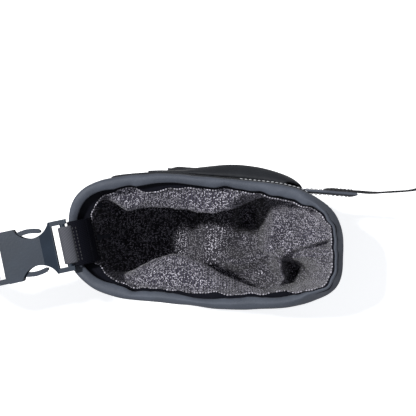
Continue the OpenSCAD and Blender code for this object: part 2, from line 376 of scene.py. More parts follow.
def stitches(name, line, normal, material, pitch=3.0 * MM, share=0.68, radius=0.32 * MM):
    """A row of sewn stitches along a line: short arched threads that dip in at both ends."""
    spots = along_line(line, pitch)
    normal = np.broadcast_to(unit(normal), (len(line), 3)) if np.ndim(normal) == 1 else normal
    facing = unit(resample(np.linspace(0, 1, len(spots)), np.linspace(0, 1, len(normal)), normal))
    # along the stitch, height of its middle and thickness, the last two as shares of the radius
    rise = [(0.0, -0.9, 0.6), (0.16, 0.35, 1.0), (0.5, 0.6, 1.0), (0.84, 0.35, 1.0), (1.0, -0.9, 0.6)]
    sides = 6
    verts, faces = [], []
    for a, b, up in zip(spots, spots[1:], facing):
        step = (b - a) * share
        side = unit(np.cross(step, up))
        base = len(verts)
        for f, height, size in rise:
            middle = a + step * f + up * radius * height
            for k in range(sides):
                t = 2 * math.pi * k / sides
                verts.append(middle + radius * size * (math.cos(t) * side + math.sin(t) * up))
        faces += tube_faces(len(rise), sides, base)
    return add_object(name, verts, faces, material)


def join(name, parts):
    """Several objects of one material as a single object."""
    verts, faces = [], []
    for part in parts:
        base = len(verts)
        verts += [tuple(v.co) for v in part.data.vertices]
        faces += [[base + i for i in f.vertices] for f in part.data.polygons]
    made = add_object(name, verts, faces, parts[0].data.materials[0])
    for part in parts:
        bpy.data.objects.remove(part)
    return made


# ---------------------------------------------------------------- materials

def node_material(name):
    material = bpy.data.materials.new(name)
    material.use_nodes = True
    tree = material.node_tree
    return material, tree, tree.nodes["Principled BSDF"]


def feed(tree, socket, value):
    """Link another node's output to an input, or set the input's own value."""
    if isinstance(value, bpy.types.NodeSocket):
        tree.links.new(value, socket)
    else:
        socket.default_value = value


def set_inputs(tree, node, **inputs):
    """Feed a node's inputs by name, with _ for each space in a name."""
    for key, value in inputs.items():
        feed(tree, node.inputs[key.replace("_", " ")], value)


def add_node(tree, kind, settings=None, **inputs):
    node = tree.nodes.new(kind)
    for key, value in (settings or {}).items():
        setattr(node, key, value)
    set_inputs(tree, node, **inputs)
    return node


def math_node(tree, operation, *values):
    node = add_node(tree, "ShaderNodeMath", {"operation": operation})
    for socket, value in zip(node.inputs, values):
        feed(tree, socket, value)
    return node.outputs[0]


def times(tree, a, b):
    return math_node(tree, "MULTIPLY", a, b)


def plus(tree, a, b):
    return math_node(tree, "ADD", a, b)


def mix_colour(tree, factor, a, b):
    node = add_node(tree, "ShaderNodeMix", {"data_type": "RGBA"})
    feed(tree, node.inputs[0], factor)
    for socket, value in ((node.inputs[6], a), (node.inputs[7], b)):
        feed(tree, socket, value if isinstance(value, bpy.types.NodeSocket) else (*value, 1))
    return node.outputs[2]


def ramp(tree, value, low, high):
    """A smooth 0 to 1 step as value goes from low to high."""
    node = add_node(
        tree, "ShaderNodeMapRange", {"interpolation_type": "SMOOTHSTEP"},
        Value=value, From_Min=low, From_Max=high,
    )
    return node.outputs[0]


def noise_value(tree, vector, scale, detail=3.0):
    return add_node(tree, "ShaderNodeTexNoise", Vector=vector, Scale=scale, Detail=detail).outputs[0]


def raised(tree, height, strength, distance, **under):
    """A surface normal with this height on it."""
    node = add_node(tree, "ShaderNodeBump", Strength=strength, Distance=distance, Height=height, **under)
    return node.outputs[0]


def shades(tint, *factors):
    """Lighter and darker versions of a colour."""
    return [[c * f for c in tint] for f in factors]


def shell_cloth(name, tint, sheen=0.05, shine=0.3):
    """Smooth bonded fabric: a fine knit face with a faint sheen and slow shade variation."""
    material, tree, bsdf = node_material(name)
    place = add_node(tree, "ShaderNodeTexCoord").outputs["Object"]
    patchy = noise_value(tree, place, 45, 4)
    fine = noise_value(tree, place, 1400, 2)
    dark, light, pale = shades(tint, 0.84, 1.1, 1.6)
    shade = mix_colour(tree, ramp(tree, patchy, 0.35, 0.7), dark, light)
    speck = mix_colour(tree, times(tree, ramp(tree, fine, 0.45, 0.75), 0.3), shade, pale)
    knit = add_node(tree, "ShaderNodeTexVoronoi", Vector=place, Scale=1500).outputs["Distance"]
    face = raised(tree, plus(tree, times(tree, knit, 0.5), fine), 0.25, 0.0003)
    soft = raised(tree, noise_value(tree, place, 160, 3), 0.35, 0.0012, Normal=face)
    set_inputs(tree, bsdf, Base_Color=speck, Roughness=0.62, Specular_IOR_Level=shine,
               Sheen_Weight=sheen, Sheen_Roughness=0.4, Normal=soft)
    return material


def knit_place(tree, level):
    """Where each point is on the knit: laid flat on the bag's floor, and drifting a little."""
    coords = add_node(tree, "ShaderNodeTexCoord")
    on_floor = ramp(tree, level, 0.058, 0.056)
    flat = mix_colour(tree, on_floor, coords.outputs["UV"], coords.outputs["Object"])
    wobble = add_node(tree, "ShaderNodeTexNoise", Vector=flat, Scale=90, Detail=2.0)
    drift = add_node(tree, "ShaderNodeVectorMath", {"operation": "SCALE"}, Scale=0.0016)
    feed(tree, drift.inputs[0], wobble.outputs["Color"])
    moved = add_node(tree, "ShaderNodeVectorMath", {"operation": "ADD"})
    feed(tree, moved.inputs[0], flat)
    feed(tree, moved.inputs[1], drift.outputs[0])
    return moved.outputs[0]


def wave(tree, value, pitch):
    """A smooth wave along a texture direction, from 0 to 1, repeating every pitch metres."""
    sine = math_node(tree, "SINE", times(tree, value, 2 * math.pi / pitch))
    return plus(tree, times(tree, sine, 0.5), 0.5)


def glitter_knit(name):
    """Dark ribbed knit with metallic yarn: ribs run down the bag, and silver flecks sit on them.
    It is darker towards the bag's floor by painted shade, and its flecks glow faintly as painted glints."""
    material, tree, bsdf = node_material(name)
    coords = add_node(tree, "ShaderNodeTexCoord")
    level = add_node(tree, "ShaderNodeSeparateXYZ", Vector=coords.outputs["Object"]).outputs[2]
    place = knit_place(tree, level)
    split = add_node(tree, "ShaderNodeSeparateXYZ", Vector=place)
    rib_pitch, loop_pitch = 0.0021, 0.0013
    rib = wave(tree, split.outputs[0], rib_pitch)
    loops = wave(tree, split.outputs[1], loop_pitch)
    cells = add_node(tree, "ShaderNodeTexVoronoi", {"voronoi_dimensions": "2D"}, Vector=place, Scale=1300)
    chance = add_node(tree, "ShaderNodeSeparateColor", Color=cells.outputs["Color"])
    dot = ramp(tree, cells.outputs["Distance"], 0.5, 0.24)
    chosen = ramp(tree, chance.outputs[0], 0.55, 0.75)
    patch = ramp(tree, noise_value(tree, place, 160, 3), 0.3, 0.66)
    shared = plus(tree, times(tree, patch, 0.75), 0.25)
    bright = times(tree, times(tree, dot, chosen), shared)
    fleck = math_node(tree, "MINIMUM", times(tree, bright, 1.9), 1.0)
    yarn = mix_colour(tree, rib, (0.012, 0.011, 0.02), (0.058, 0.053, 0.084))
    yarn = mix_colour(tree, times(tree, loops, 0.4), yarn, (0.015, 0.014, 0.02))
    # painted shade: the yarn darkens and the flecks dim towards the bag's floor, standing in for the
    # shade deep in the bag
    painted_floor_shade = ramp(tree, level, 0.095, 0.03)
    yarn = mix_colour(tree, times(tree, painted_floor_shade, 0.8), yarn, (0.008, 0.007, 0.012))
    fleck_in_painted_shade = times(tree, fleck, math_node(tree, "SUBTRACT", 1.0, times(tree, painted_floor_shade, 0.5)))
    height = plus(tree, times(tree, rib, 0.7), times(tree, loops, 0.35))
    height = plus(tree, height, times(tree, chance.outputs[1], 0.5))
    set_inputs(tree, bsdf,
               Base_Color=mix_colour(tree, fleck_in_painted_shade, yarn, (0.93, 0.9, 1.0)),
               Metallic=times(tree, fleck, 0.55),
               Roughness=math_node(tree, "SUBTRACT", 0.8, times(tree, fleck, 0.42)),
               Sheen_Weight=0.15,
               # painted glint: the flecks glow faintly, so they sparkle even where the bag is in shade
               Emission_Color=(0.75, 0.73, 1.0, 1),
               Emission_Strength=times(tree, fleck, 0.02),
               Normal=raised(tree, height, 0.75, 0.0005))
    return material


def webbing_cloth(name, dark, light, sheen=0.1, shine=0.3):
    """Woven polyester webbing: two sets of short floats in a twill, seen in UV space."""
    material, tree, bsdf = node_material(name)
    uv = add_node(tree, "ShaderNodeTexCoord").outputs["UV"]
    split = add_node(tree, "ShaderNodeSeparateXYZ", Vector=uv)
    float_pitch, yarn_pitch = 0.0022, 0.0016
    along = times(tree, split.outputs[0], 2 * math.pi / float_pitch)
    across = times(tree, split.outputs[1], 2 * math.pi / yarn_pitch)
    twill = math_node(tree, "SINE", plus(tree, along, across))
    yarns = math_node(tree, "SINE", times(tree, across, 2.0))
    weave = plus(tree, plus(tree, times(tree, twill, 0.35), times(tree, yarns, 0.25)), 0.5)
    fuzz = noise_value(tree, uv, 2600, 2)
    tone = plus(tree, times(tree, weave, 0.8), times(tree, fuzz, 0.3))
    set_inputs(tree, bsdf, Base_Color=mix_colour(tree, tone, dark, light), Roughness=0.7,
               Specular_IOR_Level=shine, Sheen_Weight=sheen, Normal=raised(tree, tone, 0.6, 0.0004))
    return material


def moulded_plastic(name, tint, rough=0.42, grain=900):
    """Injection-moulded plastic: fine spark-eroded grain, faint flow marks and pale scuffs."""
    material, tree, bsdf = node_material(name)
    place = add_node(tree, "ShaderNodeTexCoord").outputs["Object"]
    flow = noise_value(tree, place, 60, 4)
    fine = noise_value(tree, place, grain, 3)
    dark, light, pale = shades(tint, 0.88, 1.1, 1.8)
    body = mix_colour(tree, ramp(tree, flow, 0.3, 0.75), dark, light)
    scuffed = ramp(tree, noise_value(tree, place, 420, 6), 0.62, 0.72)
    set_inputs(tree, bsdf,
               Base_Color=mix_colour(tree, times(tree, scuffed, 0.25), body, pale),
               Roughness=plus(tree, times(tree, fine, 0.22), rough - 0.11),
               Specular_IOR_Level=0.22,
               Normal=raised(tree, fine, 0.3, 0.00015))
    return material


def thread(name, tint, scale=2500, contrast=0.3):
    """Twisted sewing thread."""
    material, tree, bsdf = node_material(name)
    place = add_node(tree, "ShaderNodeTexCoord").outputs["Object"]
    twist = noise_value(tree, place, scale, 2)
    dark, light = shades(tint, 1 - contrast, 1 + contrast)
    set_inputs(tree, bsdf, Base_Color=mix_colour(tree, ramp(tree, twist, 0.35, 0.65), dark, light),
               Roughness=0.55, Normal=raised(tree, twist, 0.4, 0.0002))
    return material


def painted_metal(name, tint, rough=0.35):
    """Painted die-cast metal with a fine pebble and pale scuffs."""
    material = moulded_plastic(name, tint, rough, 1500)
    material.node_tree.nodes["Principled BSDF"].inputs["Metallic"].default_value = 0.8
    return material


SHELL = shell_cloth("bonded_shell_fabric", (0.066, 0.075, 0.096))
LINING = glitter_knit("glitter_knit_lining")
WEBBING = webbing_cloth("black_webbing", (0.003, 0.003, 0.0035), (0.015, 0.015, 0.017))
TAB_WEBBING = webbing_cloth("grey_tab_webbing", (0.04, 0.041, 0.05), (0.084, 0.087, 0.104))
BUCKLE = moulded_plastic("buckle_plastic", (0.019, 0.028, 0.043))
# painted shade: a much darker copy of the tab's webbing, for the tab's slope down into the mouth
ANCHOR_PAINTED_SHADE = webbing_cloth("tab_webbing_painted_shade", (0.0012, 0.0013, 0.003), (0.005, 0.0055, 0.011), 0.0, 0.1)
ELASTIC = webbing_cloth("black_elastic", (0.008, 0.008, 0.009), (0.04, 0.04, 0.045))
BELT_THREAD = thread("belt_thread", (0.05, 0.05, 0.055))
# a dark facing fabric, made darker still as painted shade under the rim's band
FACING = shell_cloth("dark_facing_painted_shade", (0.0045, 0.005, 0.009), 0.0, 0.12)
POCKET = shell_cloth("pocket_fabric", (0.013, 0.0145, 0.018), 0.05, 0.25)
# the thread's tone varies, and its strongest light spots are painted glints along the lining's stitched
# edge
SEAM_EDGE = thread("glitter_seam_thread", (0.3, 0.29, 0.33), 700, 0.95)
SHELL_THREAD = thread("grey_thread", (0.065, 0.07, 0.085))
BLACK_THREAD = thread("black_thread", (0.03, 0.03, 0.034))
PALE_THREAD = thread("reflective_cord", (0.55, 0.56, 0.58))
ZIP_TAPE = webbing_cloth("zip_tape_cloth", (0.008, 0.008, 0.009), (0.03, 0.03, 0.034))
ZIP_NYLON = moulded_plastic("zip_nylon", (0.02, 0.02, 0.023), 0.35)
ZIP_METAL = painted_metal("zip_gunmetal", (0.09, 0.09, 0.1))
STAY_STRIP = moulded_plastic("stay_nylon", (0.6, 0.6, 0.58))
BOARD = moulded_plastic("base_board_plastic", (0.05, 0.05, 0.05), 0.5)
MAGNET_METAL = painted_metal("magnet_nickel", (0.6, 0.6, 0.62), 0.25)


# ---------------------------------------------------------------- shell, rim and facing

RIM_X = RIM_LINE[:, 0] / MM
RIM_Y = RIM_LINE[:, 1] / MM
BACK, FRONT = SIDE > 0, SIDE < 0
AT_RIGHT = smooth((RIM_X - 56) / 26)
AT_LEFT = bump(ANGLE, math.pi, 0.62)
LEAN = np.clip(AT_RIGHT + 0.22 * FRONT * smooth((RIM_X + 66) / 40), 0, 1)
UNDER_TAB = bump(ANGLE, math.pi + 0.1, 0.3)


def rim_lift():
    """How far the rim stands above or below its own height: it dips under the buckle's tab."""
    sway = np.sin(ANGLE * 3 + 0.6) * 0.5 + np.sin(ANGLE * 5 + 2) * 0.3
    return (-5.5 * UNDER_TAB + 0.8 * sway - 0.8) * MM


def seam_inset():
    """How far inside the outer face the facing meets the lining, in waves and puckers."""
    inset = 9.0 + 6.5 * AT_LEFT - 2.5 * UNDER_TAB - 2.2 * AT_RIGHT
    inset += BACK * (3.2 * bump(RIM_X, -37, 11) - 1.6 * bump(RIM_X, -55, 10) - 2.0 * bump(RIM_X, 12, 22))
    inset += FRONT * (0.9 * np.sin(RIM_X / 5.2) * bump(RIM_X, 0, 26) - 1.6 * bump(RIM_X, -42, 16))
    inset += FRONT * (1.8 * bump(RIM_X, 54, 9) + 2.5 * bump(RIM_X, -70, 8))
    inset += 0.45 * np.sin(ARC / MM / 3.4) + 0.3 * np.sin(ARC / MM / 1.9 + 1)
    return inset * MM


def band_width():
    """Width of the smooth band on top of the rim, before the facing turns down to the seam."""
    width = 7.6 - 1.8 * AT_LEFT + BACK * (3.0 * bump(RIM_X, 46, 26) - 1.9 * bump(RIM_X, -18, 20))
    width += 0.35 * np.sin(ARC / MM / 6.3) - FRONT * 2.2 * bump(RIM_X, -3, 11)
    return np.minimum(width * MM, seam_inset() - (1.3 - 0.95 * AT_RIGHT) * MM)


SEAM = seam_inset()
BAND = band_width()
LIFT = rim_lift()
BAND_DROP = (1.9 - 1.4 * AT_RIGHT) * MM


def band_ring(t):
    """A ring on the rim's band: t is 0 at the outer face and 1 at the band's inner edge. The
    crest is near the middle, and at the right end the whole band leans outwards."""
    crest = 0.42 + 0.46 * LEAN
    out = np.clip(1 - t / crest, 0, 1)
    inside = np.clip((t - crest) / (1 - crest), 0, 1)
    round_drop = 3.2 * MM * (1 - np.sqrt(1 - out**2.6))
    leaning_drop = 10.5 * MM * out**1.15
    drop = round_drop + (leaning_drop - round_drop) * LEAN + BAND_DROP * inside**2
    return ring(RIM_Z, BAND * t, LIFT - drop)


def unevenness(points):
    """The slow unevenness of padded fabric, which every layer of the wall shares."""
    soft = ripple(points, 34 * MM, 1.5 * MM, 1) + ripple(points, 12 * MM, 0.35 * MM, 2)
    level = smooth(points[:, :, 2] / (20 * MM))
    moved = points.copy()
    moved[:, :, :2] += NORMAL[None] * (soft * level)[:, :, None]
    moved[:, 0] = moved[:, -1]
    return moved


WALL_LEVELS = np.concatenate([np.linspace(7 * MM, 12 * MM, 6),
                              np.linspace(15 * MM, RIM_Z - 6 * MM, 42)])
UNDERSIDE_RINGS = 8


def shell_surface():
    """The shell as one closed profile: underside, wall, rim band, and back down inside."""
    corner = 5.0 * MM
    rings = [scaled_ring(FOOT - corner, s, 0.6 * MM * (1 - s)) for s in (0.02, 0.35, 0.7, 1.0)]
    for a in np.radians([22, 45, 67, 90]):
        rings.append(ring(corner * (1 - math.cos(a)), corner * (1 - math.sin(a))))
    side_seams = 0.9 * (bump(RIM_LINE[:, 0], SEAM_X, 1.3 * MM) + bump(RIM_LINE[:, 0], -SEAM_X, 1.3 * MM))
    x = RIM_LINE[:, 0]
    edge = 7 * MM
    behind_zip = smooth((x - COIL_LOW[0]) / edge + 1) * smooth((COIL_HIGH[0] - x) / edge + 1)
    behind_zip = 5.0 * BACK * behind_zip
    outer = band_ring(0.0)[:, 2]
    for z in WALL_LEVELS:
        near_rim = smooth((z - BELLY_Z) / (RIM_Z - BELLY_Z))
        groove = 0.8 * bump(z, 9 * MM, 1.2 * MM) + side_seams
        groove = groove + behind_zip * smooth((11 * MM - abs(z - ZIP_Z)) / (6 * MM))
        low = (outer - 1.5 * MM - z) * smooth((z - RIM_Z + 26 * MM) / (20 * MM))
        rings.append(ring(z, groove * MM, np.minimum(LIFT * near_rim, low * (low < 0))))
    rings += [band_ring(t) for t in np.linspace(0, 1, 17) ** 1.15]
    lip = RIM_Z + LIFT - BAND_DROP
    rings.append(ring(RIM_Z, BAND + 0.1 * MM, lip - RIM_Z - 0.8 * MM))
    rings.append(ring(RIM_Z, BAND - 0.6 * MM, lip - RIM_Z - 1.5 * MM))
    rings.append(ring(RIM_Z, BAND * 0.7, lip - RIM_Z - 2.2 * MM))
    for z in np.linspace(RIM_Z - 18 * MM, 6 * MM, 8):
        rings.append(ring(z, WALL_THICK))
    rings += [scaled_ring(FOOT - WALL_THICK, s, WALL_THICK + 0.1 * MM) for s in (0.97, 0.02)]
    return unevenness(np.array(rings))


def facing_surface():
    """The facing from under the band's edge down to the lining's seam, and its back; its dark colour is
    partly the fabric's own and partly painted shade.
    """
    lip_drop = BAND_DROP + 0.9 * MM - LIFT
    seam_drop = RIM_Z - SEAM_Z - 0.5 * LIFT
    undercut = (0.9 + 1.0 * BACK * bump(RIM_X, -15, 26) + 0.8 * FRONT * bump(RIM_X, -3, 14)) * MM
    start = BAND - 1.3 * MM
    rings = []
    for f in np.linspace(0, 1, 13):
        inset = start + (SEAM - start) * f**1.5 - undercut * math.sin(math.pi * f) ** 2 * (f > 0.1)
        rings.append(ring(RIM_Z, inset, -(lip_drop + (seam_drop - lip_drop) * f**0.75)))
    rings.append(ring(SEAM_Z - 1.6 * MM, SEAM - 0.7 * MM, LIFT * 0.5))
    for f in (0.6, 0.2, 0.0):
        inset = start - 1.0 * MM + (SEAM - start) * f**1.5 * 0.8
        rings.append(ring(RIM_Z, inset, -(lip_drop + 0.4 * MM + (seam_drop - lip_drop) * f)))
    rings.append(rings[0])
    return unevenness(np.array(rings))


def nearest_column(x, side):
    """The column whose rim point is nearest this x on the back (1) or front (-1)."""
    return int(np.argmin(np.abs(RIM_LINE[:, 0] - x) + 10.0 * (SIDE != side)))


def side_range(side, low=-1.0, high=1.0):
    """Columns of the back or front wall between two values of x, from right to left at the back."""
    inside = (RIM_LINE[:, 0] >= low) & (RIM_LINE[:, 0] <= high)
    middle = COLUMNS // 2
    half = np.arange(middle + 1) if side > 0 else np.arange(middle, COLUMNS + 1)
    return half[inside[half]]


def wall_row(z):
    """The row of the shell's surface at this height on the wall, above the rings of its underside."""
    return UNDERSIDE_RINGS + int(np.argmin(np.abs(WALL_LEVELS - z)))


shell = shell_surface()
half_pieces("shell", shell, SHELL, "shell_fabric",
            {"back": ["back_panel", "gusset_and_base"], "front": ["front_panel"]})
half_pieces("facing", facing_surface(), FACING, "rim_fabric",
            {"back": ["back_rim_facing"], "front": ["front_rim_facing"]})


def shell_stitching(side, sign):
    """Stitch rows on one half of the shell: beside both panel seams, and over the base seam."""
    rows = []
    for x in (-SEAM_X, SEAM_X):
        for offset in (-2.6 * MM, 2.6 * MM):
            column = nearest_column(x + offset, sign)
            line = shell[wall_row(13 * MM):wall_row(RIM_Z - 11 * MM), column]
            rows.append(stitches("row", line, OUTWARD[column], SHELL_THREAD, 3.2 * MM))
    columns = side_range(sign)
    for z in (12.5 * MM, RIM_Z - 17 * MM):
        rows.append(stitches("row", shell[wall_row(z), columns], OUTWARD[columns], SHELL_THREAD,
                             3.2 * MM, 0.68, 0.24 * MM))
    settle(join(f"{side}_shell_stitching", rows), "shell_fabric", wall=side)


def rim_parts(side, sign):
    """What is sewn into one half of the rim: its spring strip, and the lining's stitched edge."""
    stay_columns = side_range(sign, -75 * MM, 66 * MM)
    inner = unevenness(np.array([ring(RIM_Z - 7.5 * MM, 3.4 * MM, LIFT)] * 2))[0]
    stay = strap(f"{side}_spring_strip", inner[stay_columns], (0, 0, 1), 4.4 * MM, 0.9 * MM, STAY_STRIP)
    settle(stay, "stay_strip", f"{side}_rim_stay", wall=side)
    columns = side_range(sign)
    edge = unevenness(np.array([ring(SEAM_Z + 0.2 * MM, SEAM + 0.15 * MM, LIFT * 0.5)] * 2))[0]
    leaning = np.column_stack([-0.5 * NORMAL, np.ones(len(ANGLE))])
    stitched = stitches(f"{side}_lining_edge", edge[columns], leaning[columns], SEAM_EDGE,
                        1.8 * MM, 0.8, 0.45 * MM)
    settle(stitched, "lining_knit", wall=side)


for side, sign in SIDES:
    rim_parts(side, sign)


# ---------------------------------------------------------------- lining

def drape(points, frames=16, cap=2.4 * MM):
    """Let the lining buckle and settle as cloth, pinned at its seam and floor, and return the
    surface with no point moved further than the cap."""
    step = 2
    rows = np.arange(0, points.shape[0], step)
    columns = np.arange(0, COLUMNS, step)
    coarse = points[np.ix_(rows, columns)]
    height, width = coarse.shape[:2]
    r, c = np.meshgrid(np.arange(height - 1), np.arange(width), indexing="ij")
    a, b = (r * width + c).ravel(), (r * width + (c + 1) % width).ravel()
    faces = np.stack([a, b, b + width, a + width], axis=1)
    cloth = add_object("drape", coarse.reshape(-1, 3), faces, LINING)
    pinned = cloth.vertex_groups.new(name="pinned")
    floor_rows = FLOOR_RINGS // step
    for i in range(height):
        grip = 1.0 if i < 2 else 0.06 if i < height - floor_rows else 0.5
        pinned.add(range(i * width, (i + 1) * width), grip, "REPLACE")
    modifier = cloth.modifiers.new("cloth", "CLOTH")
    for key, value in dict(
        vertex_group_mass="pinned", quality=6, mass=0.12, pin_stiffness=1.0, tension_stiffness=12,
        compression_stiffness=12, bending_stiffness=0.15, shrink_min=-0.05,
    ).items():
        setattr(modifier.settings, key, value)
    modifier.settings.effector_weights.gravity = 0.25
    modifier.point_cache.frame_end = frames
    scene = bpy.context.scene
    for frame_number in range(1, frames + 1):
        scene.frame_set(frame_number)
    graph = bpy.context.evaluated_depsgraph_get()
    settled = cloth.evaluated_get(graph).to_mesh()
    flat = np.empty(len(settled.vertices) * 3, np.float32)
    settled.vertices.foreach_get("co", flat)
    moved = flat.reshape(height, width, 3) - coarse
    scene.frame_set(1)
    bpy.data.objects.remove(cloth)
    length = np.linalg.norm(moved, axis=2, keepdims=True)
    moved *= np.minimum(1, cap / np.maximum(length, 1e-9))
    moved = np.concatenate([moved, moved[:, :1]], axis=1)
    wide = np.array([[np.interp(np.arange(COLUMNS + 1), np.append(columns, COLUMNS), moved[i, :, k])
                      for k in range(3)] for i in range(height)])
    full = np.array([[np.interp(np.arange(points.shape[0]), rows, wide[:, k, j])
                      for j in range(COLUMNS + 1)] for k in range(3)])
    return points + full.transpose(2, 1, 0)


LINING_LOW = float(corners("lining")[0][2]) + 0.6 * MM


def lining_surface():
    """The inner bag: a sagging strip under the back seam, a deep fold in the front wall, and a
    right end that slopes in to the base with creases."""
    back = smooth(RIM_Y / 22)
    front = smooth(-RIM_Y / 22)
    strip_depth, fold_depth, fold_x = 16.5, 24, -17
    strip = strip_depth * back * smooth((RIM_X + 84) / 26) * (1 - smooth((RIM_X - 4) / 46))
    strip_lip = 98 + 2 * np.sin(RIM_X / 19)
    fold = fold_depth * front * bump(RIM_X, fold_x, np.where(RIM_X < fold_x, 36, 44))
    fold_lip = 78 - 0.10 * (RIM_X - fold_x)
    deep_right = 0.86 - 0.66 * smooth((-RIM_Y - 6) / 12) * smooth((RIM_X - 30) / 20)
    bag_inset, slope_x = 6.6, 34
    heights = SEAM_Z - (SEAM_Z - FLOOR_Z) * np.linspace(0, 1, WALL_ROWS) ** 1.08
    rows = []
    for z in heights:
        h = z / MM
        depth = (SEAM_Z - z) / (SEAM_Z - FLOOR_Z)
        inset = bag_inset + (SEAM / MM - bag_inset) * (1 - smooth(depth / 0.22))
        over_strip = smooth((SEAM_Z / MM - h) / (SEAM_Z / MM - strip_lip))
        inset = inset + strip * over_strip * smooth((h - strip_lip + 11) / 9)
        over_fold = smooth((SEAM_Z / MM - 6 - h) / (SEAM_Z / MM - 6 - fold_lip))
        inset = inset + fold * over_fold * smooth((h - fold_lip + 20) / 17)
        p = ring(z, inset * MM)
        x = p[:, 0] / MM
        slope = deep_right * smooth(depth / 0.86)
        p[:, 0] = np.where(x > slope_x, slope_x + (x - slope_x) * (1 - slope), x) * MM
        left_fold = 4.5 * bump(x, -70, 16) * np.sin(RIM_Y / 4.6) * smooth(depth / 0.2)
        p[:, 0] += left_fold * MM
        p[:, 2] += bunching(p[:, 0]) * depth**1.3
        rows.append(p)
    edge = rows[-1]
    for share in np.linspace(1, 0, FLOOR_RINGS)[1:]:
        flat = edge.copy()
        flat[:, :2] *= share
        flat[:, 2] = FLOOR_Z - 1.5 * (1 - share) * MM + bunching(flat[:, 0])
        rows.append(flat)
    points = np.array(rows)
    depth = smooth(np.arange(len(rows)) / 9)[:, None]
    shift = ripple(points, 21 * MM, 2.6 * MM, 3) + ripple(points, 8 * MM, 0.9 * MM, 4)
    still = smooth(np.hypot(points[:, :, 0], points[:, :, 1]) / (14 * MM))
    points[:, :, :2] -= NORMAL[None] * (shift * depth * still)[:, :, None]
    points[:, :, 2] += ripple(points, 14 * MM, 1.4 * MM, 5) * depth
    points[:, :, 2] += creases(points) * depth * MM
    points[:, :, 2] = np.maximum(points[:, :, 2], LINING_LOW)
    points[:, 0] = points[:, -1]
    return points


def bunching(x):
    """How much higher the loose lining lies at each x: it bunches up towards the right."""
    return 26 * MM * smooth((x / MM + 16) / 18)


def segment_distance(x, y, a, b):
    """Distance from points to the segment from a to b, and how far along it they are."""
    a, b = np.array(a, float), np.array(b, float)
    run = b - a
    t = np.clip(((x - a[0]) * run[0] + (y - a[1]) * run[1]) / (run @ run), 0, 1)
    return np.hypot(x - a[0] - t * run[0], y - a[1] - t * run[1]), t


def creases(points):
    """Height in millimetres that the lining's folds add: a bowl with a ridge on its right and
    front, a hollow in it, and creases and a dark pocket at the right end. They are placed at the
    level of the rim, along lines of sight from the camera."""
    nearness = CAMERA_ABOVE / (CAMERA_ABOVE + RIM_Z - points[:, :, 2])
    x = (CAMERA_XY[0] + (points[:, :, 0] - CAMERA_XY[0]) * nearness) / MM
    y = (CAMERA_XY[1] + (points[:, :, 1] - CAMERA_XY[1]) * nearness) / MM
    high = smooth((points[:, :, 2] / MM - 4) / 10)
    r = np.hypot(x - 22, y - 7)
    bearing = np.arctan2(y - 7, x - 22)
    ridge_side = smooth((np.cos(bearing + 0.75) + 0.35) / 0.8)
    height = 12 * bump(r, 17.5, 5.2) * ridge_side
    height -= 27 * np.exp(-(np.hypot(x - 27.5, (y - 19) / 1.1) / 9.5) ** 4)
    height -= 9 * bump(np.hypot((x - 23) / 1.2, y - 4), 0, 7)
    away = np.hypot((x - 60 - 0.3 * (y + 15)) / 1.25, y + 15)
    height -= 26 * np.exp(-(away / 9.5) ** 3)
    d, t = segment_distance(x, y, (79, 5), (57, -3))
    height += (5.0 * bump(d, 4.5, 2.8) - 15 * bump(d, 0, 1.7) * (1 - 0.6 * t)) * high
    # the other folds: two ends, height and width
    for a, b, rise, width in (
        ((46, -7), (50, -17), 34, 4.8),
        ((52, 24), (76, 14), 2.5, 4.0),
        ((46, -26), (58, -12), 4, 2.6),
        ((60, 20), (48, 2), -4, 2.4),
    ):
        d, _ = segment_distance(x, y, a, b)
        height += rise * bump(d, 0, width) * high
    return height


lining = lining_surface()
lining = drape(lining)
half_pieces("lining", lining, LINING, "lining_knit", {"back": ["lining"], "front": ["lining"]}, flip=True)


# ---------------------------------------------------------------- back pocket and rim piping

def wall_depth(x, z):
    """How far the back wall's outer face stands from the middle plane, at each x and z."""
    half = np.array([wall_half(v) for v in z.ravel()]).reshape(z.shape + (2,))
    share = np.clip(np.abs(x) / half[..., 0], 0, 1)
    return half[..., 1] * (1 - share**SQUARENESS) ** (1 / SQUARENESS)


POCKET_LOW, POCKET_HIGH = corners("pocket_panel")
ZIP_FACE = float(POCKET_HIGH[1])
SLOT = (float(COIL_LOW[0]) - 2.6 * MM, float(COIL_HIGH[0]) + 2.6 * MM, 3.6 * MM)


def rectangle(low, high):
    """The corners of a closed rectangle, from its low corner round to it again."""
    return [low, (high[0], low[1]), high, (low[0], high[1]), low]


def pocket_face(x, z, top=13 * MM):
    """Outer face of the padded pocket: flat at the zip, with a full hood of fabric above it."""
    low = POCKET_LOW - [4 * MM, 0, 2 * MM]
    high = POCKET_HIGH + [4 * MM, 0, top]
    across = np.minimum(x - low[0], high[0] - x)
    side = np.sqrt(1 - (1 - np.clip(across / (30 * MM), 0, 1)) ** 2) ** 1.4
    foot = np.sqrt(1 - (1 - np.clip((z - low[2]) / (22 * MM), 0, 1)) ** 2)
    head = np.sqrt(1 - (1 - np.clip((high[2] - z) / (11 * MM), 0, 1)) ** 2)
    wall = wall_depth(x, z)
    middle = (low[0] + high[0]) / 2 + 6 * MM
    hood = 3.9 * MM * bump(z, high[2] - 10 * MM, 10 * MM) * bump(x, middle + 5 * MM, 27 * MM)
    belly = 2.6 * MM * bump(z, 45 * MM, 20 * MM) * bump(x, middle, 40 * MM)
    taper = smooth((x - low[0] - 8 * MM) / (46 * MM))
    padding = (ZIP_FACE + 0.5 * MM - wall) * (0.2 + 0.8 * taper) + belly * taper
    full = np.maximum(padding, 1.2 * MM) + hood
    near_slot = smooth((np.abs(z - ZIP_Z) - 3.5 * MM) / (8 * MM))
    slot_taper = smooth((x - low[0] - 7 * MM) / (14 * MM))
    at_zip = np.maximum((ZIP_FACE + 0.6 * MM - wall) * slot_taper, 1.5 * MM)
    full = at_zip + (full - at_zip) * near_slot
    return wall + (full - 0.9 * MM) * side * foot * head + 0.9 * MM


